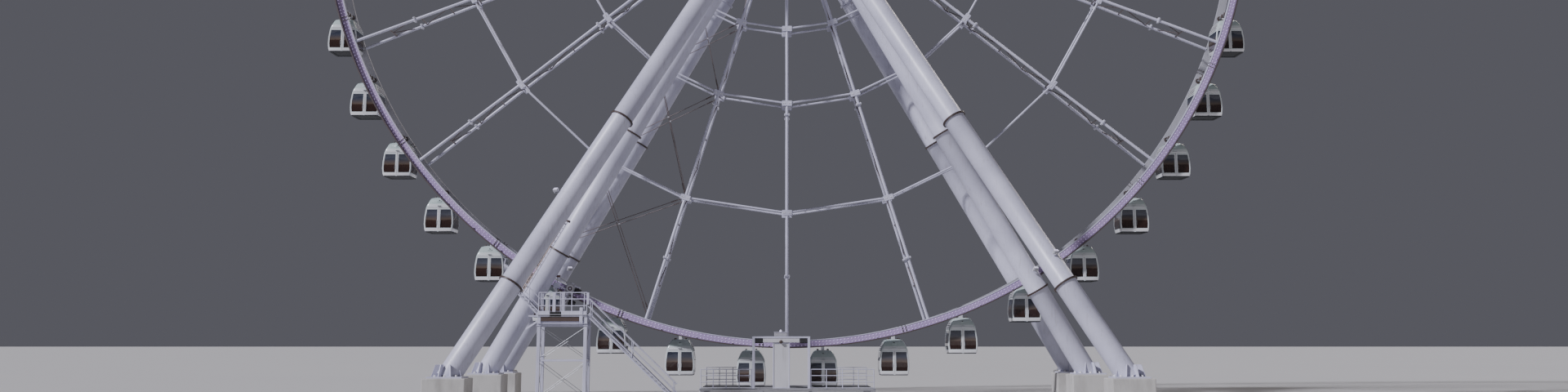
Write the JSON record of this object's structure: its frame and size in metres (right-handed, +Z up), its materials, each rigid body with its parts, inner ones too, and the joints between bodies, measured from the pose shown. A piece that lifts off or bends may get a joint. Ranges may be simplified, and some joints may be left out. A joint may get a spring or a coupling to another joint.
{
  "type": "ferris wheel, 1:2 scale model",
  "caption": "Tall observation wheel with closed hanging cabins on splayed tubular legs, with a tyre drive and a boarding deck. Scale model, 1:2.",
  "frame": {"origin": "on the ground under the hub, at the middle of the wheel's width", "axes": "+Z up, X across the wheel's face with +X to the right from the boarding side, +Y along the axle away from the boarding side"},
  "size_m": [29.19, 14.362, 30.0125],
  "materials": {
    "white_steel": "semi-gloss white paint with weather streaks",
    "grey_steel": "grey paint",
    "lit_rim": "grey paint under a strip of small lamps",
    "cabin_shell": "pale grey-green gloss paint",
    "deck_grey": "worn grey deck paint",
    "tyre": "matt black rubber"
  },
  "bodies": {
    "support": {"axle_and_inner_legs": "white_steel", "leg_front_outer_left": "white_steel", "leg_front_outer_right": "white_steel", "leg_rear_outer_left": "white_steel", "leg_rear_outer_right": "white_steel", "drive_platform": "grey_steel", "boarding_platform": "deck_grey"},
    "wheel": {"hub": "white_steel", "rim_front": "lit_rim", "rim_rear": "grey_steel", "spokes_01_to_04": "white_steel", "spokes_05_to_07": "white_steel", "spokes_08_to_11": "white_steel", "spokes_12_to_14": "white_steel", "spokes_15_to_18": "white_steel", "spokes_19_to_21": "white_steel"},
    "cabin_01_body": {"cabin_01": "cabin_shell"},
    "cabin_02_body": {"cabin_02": "cabin_shell"},
    "cabin_03_body": {"cabin_03": "cabin_shell"},
    "cabin_04_body": {"cabin_04": "cabin_shell"},
    "cabin_05_body": {"cabin_05": "cabin_shell"},
    "cabin_06_body": {"cabin_06": "cabin_shell"},
    "cabin_07_body": {"cabin_07": "cabin_shell"},
    "cabin_08_body": {"cabin_08": "cabin_shell"},
    "cabin_09_body": {"cabin_09": "cabin_shell"},
    "cabin_10_body": {"cabin_10": "cabin_shell"},
    "cabin_11_body": {"cabin_11": "cabin_shell"},
    "cabin_12_body": {"cabin_12": "cabin_shell"},
    "cabin_13_body": {"cabin_13": "cabin_shell"},
    "cabin_14_body": {"cabin_14": "cabin_shell"},
    "cabin_15_body": {"cabin_15": "cabin_shell"},
    "cabin_16_body": {"cabin_16": "cabin_shell"},
    "cabin_17_body": {"cabin_17": "cabin_shell"},
    "cabin_18_body": {"cabin_18": "cabin_shell"},
    "cabin_19_body": {"cabin_19": "cabin_shell"},
    "cabin_20_body": {"cabin_20": "cabin_shell"},
    "cabin_21_body": {"cabin_21": "cabin_shell"},
    "cabin_22_body": {"cabin_22": "cabin_shell"},
    "cabin_23_body": {"cabin_23": "cabin_shell"},
    "cabin_24_body": {"cabin_24": "cabin_shell"},
    "cabin_25_body": {"cabin_25": "cabin_shell"},
    "cabin_26_body": {"cabin_26": "cabin_shell"},
    "cabin_27_body": {"cabin_27": "cabin_shell"},
    "cabin_28_body": {"cabin_28": "cabin_shell"},
    "cabin_29_body": {"cabin_29": "cabin_shell"},
    "cabin_30_body": {"cabin_30": "cabin_shell"},
    "cabin_31_body": {"cabin_31": "cabin_shell"},
    "cabin_32_body": {"cabin_32": "cabin_shell"},
    "cabin_33_body": {"cabin_33": "cabin_shell"},
    "cabin_34_body": {"cabin_34": "cabin_shell"},
    "cabin_35_body": {"cabin_35": "cabin_shell"},
    "cabin_36_body": {"cabin_36": "cabin_shell"},
    "cabin_37_body": {"cabin_37": "cabin_shell"},
    "cabin_38_body": {"cabin_38": "cabin_shell"},
    "cabin_39_body": {"cabin_39": "cabin_shell"},
    "cabin_40_body": {"cabin_40": "cabin_shell"},
    "cabin_41_body": {"cabin_41": "cabin_shell"},
    "cabin_42_body": {"cabin_42": "cabin_shell"},
    "drive_tyre_inner_body": {"drive_tyre_inner": "tyre"},
    "drive_tyre_outer_body": {"drive_tyre_outer": "tyre"}
  },
  "joints": [
    {"name": "wheel_spin", "type": "hinge", "parent": "support", "child": "wheel", "pos_m": [0, 0, 15.75], "axis": [0, 1, 0], "continuous": true},
    {"name": "cabin_01_pivot", "type": "hinge", "parent": "wheel", "child": "cabin_01_body", "pos_m": [1.05743, 0, 1.63957], "axis": [0, 1, 0], "continuous": true},
    {"name": "cabin_02_pivot", "type": "hinge", "parent": "wheel", "child": "cabin_02_body", "pos_m": [3.14867, 0, 1.95477], "axis": [0, 1, 0], "continuous": true},
    {"name": "cabin_03_pivot", "type": "hinge", "parent": "wheel", "child": "cabin_03_body", "pos_m": [5.16958, 0, 2.57814], "axis": [0, 1, 0], "continuous": true},
    {"name": "cabin_04_pivot", "type": "hinge", "parent": "wheel", "child": "cabin_04_body", "pos_m": [7.075, 0, 3.49574], "axis": [0, 1, 0], "continuous": true},
    {"name": "cabin_05_pivot", "type": "hinge", "parent": "wheel", "child": "cabin_05_body", "pos_m": [8.82238, 0, 4.68708], "axis": [0, 1, 0], "continuous": true},
    {"name": "cabin_06_pivot", "type": "hinge", "parent": "wheel", "child": "cabin_06_body", "pos_m": [10.37268, 0, 6.12556], "axis": [0, 1, 0], "continuous": true},
    {"name": "cabin_07_pivot", "type": "hinge", "parent": "wheel", "child": "cabin_07_body", "pos_m": [11.69128, 0, 7.77902], "axis": [0, 1, 0], "continuous": true},
    {"name": "cabin_08_pivot", "type": "hinge", "parent": "wheel", "child": "cabin_08_body", "pos_m": [12.74871, 0, 9.61055], "axis": [0, 1, 0], "continuous": true},
    {"name": "cabin_09_pivot", "type": "hinge", "parent": "wheel", "child": "cabin_09_body", "pos_m": [13.52136, 0, 11.57921], "axis": [0, 1, 0], "continuous": true},
    {"name": "cabin_10_pivot", "type": "hinge", "parent": "wheel", "child": "cabin_10_body", "pos_m": [13.99196, 0, 13.64105], "axis": [0, 1, 0], "continuous": true},
    {"name": "cabin_11_pivot", "type": "hinge", "parent": "wheel", "child": "cabin_11_body", "pos_m": [14.15, 0, 15.75], "axis": [0, 1, 0], "continuous": true},
    {"name": "cabin_12_pivot", "type": "hinge", "parent": "wheel", "child": "cabin_12_body", "pos_m": [13.99196, 0, 17.85895], "axis": [0, 1, 0], "continuous": true},
    {"name": "cabin_13_pivot", "type": "hinge", "parent": "wheel", "child": "cabin_13_body", "pos_m": [13.52136, 0, 19.92079], "axis": [0, 1, 0], "continuous": true},
    {"name": "cabin_14_pivot", "type": "hinge", "parent": "wheel", "child": "cabin_14_body", "pos_m": [12.74871, 0, 21.88945], "axis": [0, 1, 0], "continuous": true},
    {"name": "cabin_15_pivot", "type": "hinge", "parent": "wheel", "child": "cabin_15_body", "pos_m": [11.69128, 0, 23.72098], "axis": [0, 1, 0], "continuous": true},
    {"name": "cabin_16_pivot", "type": "hinge", "parent": "wheel", "child": "cabin_16_body", "pos_m": [10.37268, 0, 25.37444], "axis": [0, 1, 0], "continuous": true},
    {"name": "cabin_17_pivot", "type": "hinge", "parent": "wheel", "child": "cabin_17_body", "pos_m": [8.82238, 0, 26.81292], "axis": [0, 1, 0], "continuous": true},
    {"name": "cabin_18_pivot", "type": "hinge", "parent": "wheel", "child": "cabin_18_body", "pos_m": [7.075, 0, 28.00426], "axis": [0, 1, 0], "continuous": true},
    {"name": "cabin_19_pivot", "type": "hinge", "parent": "wheel", "child": "cabin_19_body", "pos_m": [5.16958, 0, 28.92186], "axis": [0, 1, 0], "continuous": true},
    {"name": "cabin_20_pivot", "type": "hinge", "parent": "wheel", "child": "cabin_20_body", "pos_m": [3.14867, 0, 29.54523], "axis": [0, 1, 0], "continuous": true},
    {"name": "cabin_21_pivot", "type": "hinge", "parent": "wheel", "child": "cabin_21_body", "pos_m": [1.05743, 0, 29.86043], "axis": [0, 1, 0], "continuous": true},
    {"name": "cabin_22_pivot", "type": "hinge", "parent": "wheel", "child": "cabin_22_body", "pos_m": [-1.05743, 0, 29.86043], "axis": [0, 1, 0], "continuous": true},
    {"name": "cabin_23_pivot", "type": "hinge", "parent": "wheel", "child": "cabin_23_body", "pos_m": [-3.14867, 0, 29.54523], "axis": [0, 1, 0], "continuous": true},
    {"name": "cabin_24_pivot", "type": "hinge", "parent": "wheel", "child": "cabin_24_body", "pos_m": [-5.16958, 0, 28.92186], "axis": [0, 1, 0], "continuous": true},
    {"name": "cabin_25_pivot", "type": "hinge", "parent": "wheel", "child": "cabin_25_body", "pos_m": [-7.075, 0, 28.00426], "axis": [0, 1, 0], "continuous": true},
    {"name": "cabin_26_pivot", "type": "hinge", "parent": "wheel", "child": "cabin_26_body", "pos_m": [-8.82238, 0, 26.81292], "axis": [0, 1, 0], "continuous": true},
    {"name": "cabin_27_pivot", "type": "hinge", "parent": "wheel", "child": "cabin_27_body", "pos_m": [-10.37268, 0, 25.37444], "axis": [0, 1, 0], "continuous": true},
    {"name": "cabin_28_pivot", "type": "hinge", "parent": "wheel", "child": "cabin_28_body", "pos_m": [-11.69128, 0, 23.72098], "axis": [0, 1, 0], "continuous": true},
    {"name": "cabin_29_pivot", "type": "hinge", "parent": "wheel", "child": "cabin_29_body", "pos_m": [-12.74871, 0, 21.88945], "axis": [0, 1, 0], "continuous": true},
    {"name": "cabin_30_pivot", "type": "hinge", "parent": "wheel", "child": "cabin_30_body", "pos_m": [-13.52136, 0, 19.92079], "axis": [0, 1, 0], "continuous": true},
    {"name": "cabin_31_pivot", "type": "hinge", "parent": "wheel", "child": "cabin_31_body", "pos_m": [-13.99196, 0, 17.85895], "axis": [0, 1, 0], "continuous": true},
    {"name": "cabin_32_pivot", "type": "hinge", "parent": "wheel", "child": "cabin_32_body", "pos_m": [-14.15, 0, 15.75], "axis": [0, 1, 0], "continuous": true},
    {"name": "cabin_33_pivot", "type": "hinge", "parent": "wheel", "child": "cabin_33_body", "pos_m": [-13.99196, 0, 13.64105], "axis": [0, 1, 0], "continuous": true},
    {"name": "cabin_34_pivot", "type": "hinge", "parent": "wheel", "child": "cabin_34_body", "pos_m": [-13.52136, 0, 11.57921], "axis": [0, 1, 0], "continuous": true},
    {"name": "cabin_35_pivot", "type": "hinge", "parent": "wheel", "child": "cabin_35_body", "pos_m": [-12.74871, 0, 9.61055], "axis": [0, 1, 0], "continuous": true},
    {"name": "cabin_36_pivot", "type": "hinge", "parent": "wheel", "child": "cabin_36_body", "pos_m": [-11.69128, 0, 7.77902], "axis": [0, 1, 0], "continuous": true},
    {"name": "cabin_37_pivot", "type": "hinge", "parent": "wheel", "child": "cabin_37_body", "pos_m": [-10.37268, 0, 6.12556], "axis": [0, 1, 0], "continuous": true},
    {"name": "cabin_38_pivot", "type": "hinge", "parent": "wheel", "child": "cabin_38_body", "pos_m": [-8.82238, 0, 4.68708], "axis": [0, 1, 0], "continuous": true},
    {"name": "cabin_39_pivot", "type": "hinge", "parent": "wheel", "child": "cabin_39_body", "pos_m": [-7.075, 0, 3.49574], "axis": [0, 1, 0], "continuous": true},
    {"name": "cabin_40_pivot", "type": "hinge", "parent": "wheel", "child": "cabin_40_body", "pos_m": [-5.16958, 0, 2.57814], "axis": [0, 1, 0], "continuous": true},
    {"name": "cabin_41_pivot", "type": "hinge", "parent": "wheel", "child": "cabin_41_body", "pos_m": [-3.14867, 0, 1.95477], "axis": [0, 1, 0], "continuous": true},
    {"name": "cabin_42_pivot", "type": "hinge", "parent": "wheel", "child": "cabin_42_body", "pos_m": [-1.05743, 0, 1.63957], "axis": [0, 1, 0], "continuous": true},
    {"name": "drive_tyre_inner_spin", "type": "hinge", "parent": "support", "child": "drive_tyre_inner_body", "pos_m": [-6.34146, 0, 3.19605], "axis": [0, 1, 0], "continuous": true},
    {"name": "drive_tyre_outer_spin", "type": "hinge", "parent": "support", "child": "drive_tyre_outer_body", "pos_m": [-6.50967, 0, 2.86304], "axis": [0, 1, 0], "continuous": true}
  ],
  "couplings": [
    {"joint": "cabin_01_pivot", "follows": "wheel_spin", "ratio": -1},
    {"joint": "cabin_02_pivot", "follows": "wheel_spin", "ratio": -1},
    {"joint": "cabin_03_pivot", "follows": "wheel_spin", "ratio": -1},
    {"joint": "cabin_04_pivot", "follows": "wheel_spin", "ratio": -1},
    {"joint": "cabin_05_pivot", "follows": "wheel_spin", "ratio": -1},
    {"joint": "cabin_06_pivot", "follows": "wheel_spin", "ratio": -1},
    {"joint": "cabin_07_pivot", "follows": "wheel_spin", "ratio": -1},
    {"joint": "cabin_08_pivot", "follows": "wheel_spin", "ratio": -1},
    {"joint": "cabin_09_pivot", "follows": "wheel_spin", "ratio": -1},
    {"joint": "cabin_10_pivot", "follows": "wheel_spin", "ratio": -1},
    {"joint": "cabin_11_pivot", "follows": "wheel_spin", "ratio": -1},
    {"joint": "cabin_12_pivot", "follows": "wheel_spin", "ratio": -1},
    {"joint": "cabin_13_pivot", "follows": "wheel_spin", "ratio": -1},
    {"joint": "cabin_14_pivot", "follows": "wheel_spin", "ratio": -1},
    {"joint": "cabin_15_pivot", "follows": "wheel_spin", "ratio": -1},
    {"joint": "cabin_16_pivot", "follows": "wheel_spin", "ratio": -1},
    {"joint": "cabin_17_pivot", "follows": "wheel_spin", "ratio": -1},
    {"joint": "cabin_18_pivot", "follows": "wheel_spin", "ratio": -1},
    {"joint": "cabin_19_pivot", "follows": "wheel_spin", "ratio": -1},
    {"joint": "cabin_20_pivot", "follows": "wheel_spin", "ratio": -1},
    {"joint": "cabin_21_pivot", "follows": "wheel_spin", "ratio": -1},
    {"joint": "cabin_22_pivot", "follows": "wheel_spin", "ratio": -1},
    {"joint": "cabin_23_pivot", "follows": "wheel_spin", "ratio": -1},
    {"joint": "cabin_24_pivot", "follows": "wheel_spin", "ratio": -1},
    {"joint": "cabin_25_pivot", "follows": "wheel_spin", "ratio": -1},
    {"joint": "cabin_26_pivot", "follows": "wheel_spin", "ratio": -1},
    {"joint": "cabin_27_pivot", "follows": "wheel_spin", "ratio": -1},
    {"joint": "cabin_28_pivot", "follows": "wheel_spin", "ratio": -1},
    {"joint": "cabin_29_pivot", "follows": "wheel_spin", "ratio": -1},
    {"joint": "cabin_30_pivot", "follows": "wheel_spin", "ratio": -1},
    {"joint": "cabin_31_pivot", "follows": "wheel_spin", "ratio": -1},
    {"joint": "cabin_32_pivot", "follows": "wheel_spin", "ratio": -1},
    {"joint": "cabin_33_pivot", "follows": "wheel_spin", "ratio": -1},
    {"joint": "cabin_34_pivot", "follows": "wheel_spin", "ratio": -1},
    {"joint": "cabin_35_pivot", "follows": "wheel_spin", "ratio": -1},
    {"joint": "cabin_36_pivot", "follows": "wheel_spin", "ratio": -1},
    {"joint": "cabin_37_pivot", "follows": "wheel_spin", "ratio": -1},
    {"joint": "cabin_38_pivot", "follows": "wheel_spin", "ratio": -1},
    {"joint": "cabin_39_pivot", "follows": "wheel_spin", "ratio": -1},
    {"joint": "cabin_40_pivot", "follows": "wheel_spin", "ratio": -1},
    {"joint": "cabin_41_pivot", "follows": "wheel_spin", "ratio": -1},
    {"joint": "cabin_42_pivot", "follows": "wheel_spin", "ratio": -1},
    {"joint": "drive_tyre_inner_spin", "follows": "wheel_spin", "ratio": 86.242},
    {"joint": "drive_tyre_outer_spin", "follows": "wheel_spin", "ratio": -86.439}
  ]
}
